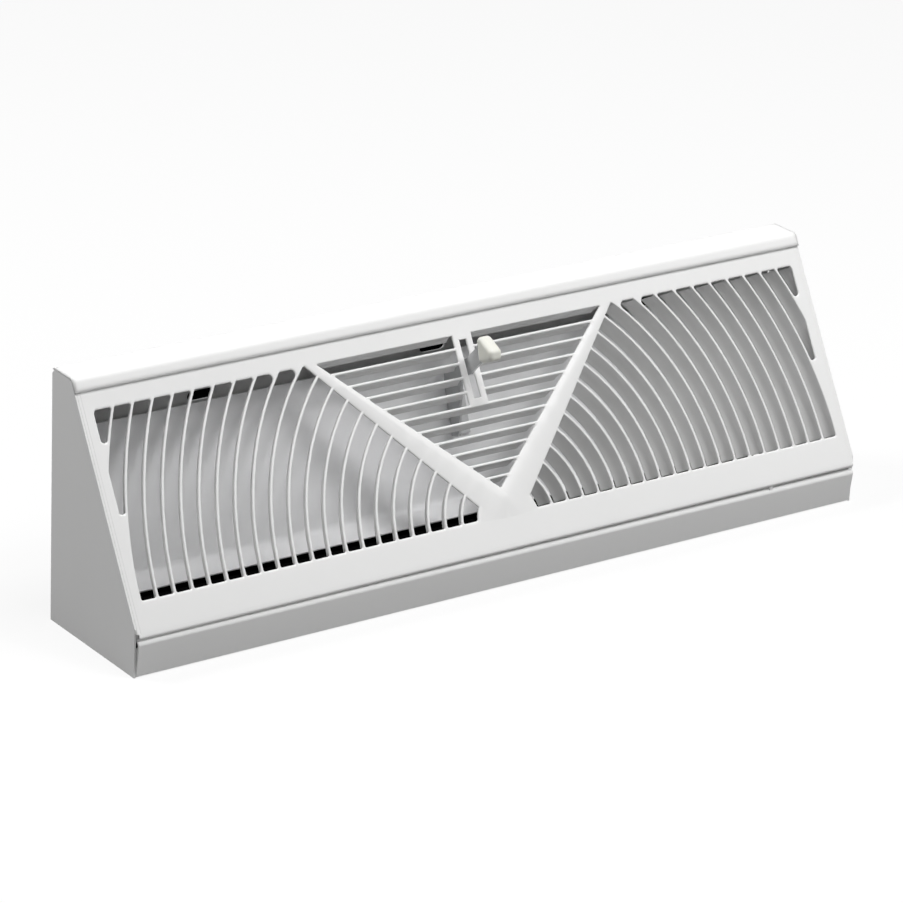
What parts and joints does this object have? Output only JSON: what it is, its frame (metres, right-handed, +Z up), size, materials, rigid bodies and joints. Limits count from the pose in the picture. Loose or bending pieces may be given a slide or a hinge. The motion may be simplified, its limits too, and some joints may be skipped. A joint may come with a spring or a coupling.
{
  "type": "baseboard register",
  "caption": "White sheet-metal baseboard register with a sloping sun-flare grille of turned-in vanes, a hinged damper blade and a lever knob, open at the back and base for the duct.",
  "frame": {"origin": "middle of the base, halfway between the wall plane and the face's lower edge, on the floor", "axes": "+X along the length, +Y towards the wall behind it, +Z up"},
  "size_m": [0.381, 0.0694, 0.1134],
  "materials": {
    "white_enamel": "satin",
    "zinc_steel": "satin",
    "cream_plastic": "satin"
  },
  "bodies": {
    "housing": {"face_grille": "white_enamel", "wall_plate": "white_enamel", "end_cap_left": "white_enamel", "end_cap_right": "white_enamel", "toe_plate": "white_enamel", "hinge_rod": "zinc_steel"},
    "damper": {"damper_blade": "white_enamel", "lever_arm": "zinc_steel", "lever_rivets": "zinc_steel", "lever_knob": "cream_plastic"}
  },
  "joints": [
    {"name": "damper_hinge", "type": "hinge", "parent": "housing", "child": "damper", "pos_m": [0, 0.02653, 0.07487], "axis": [1, 0, 0], "range_deg": [-11, 22]}
  ]
}
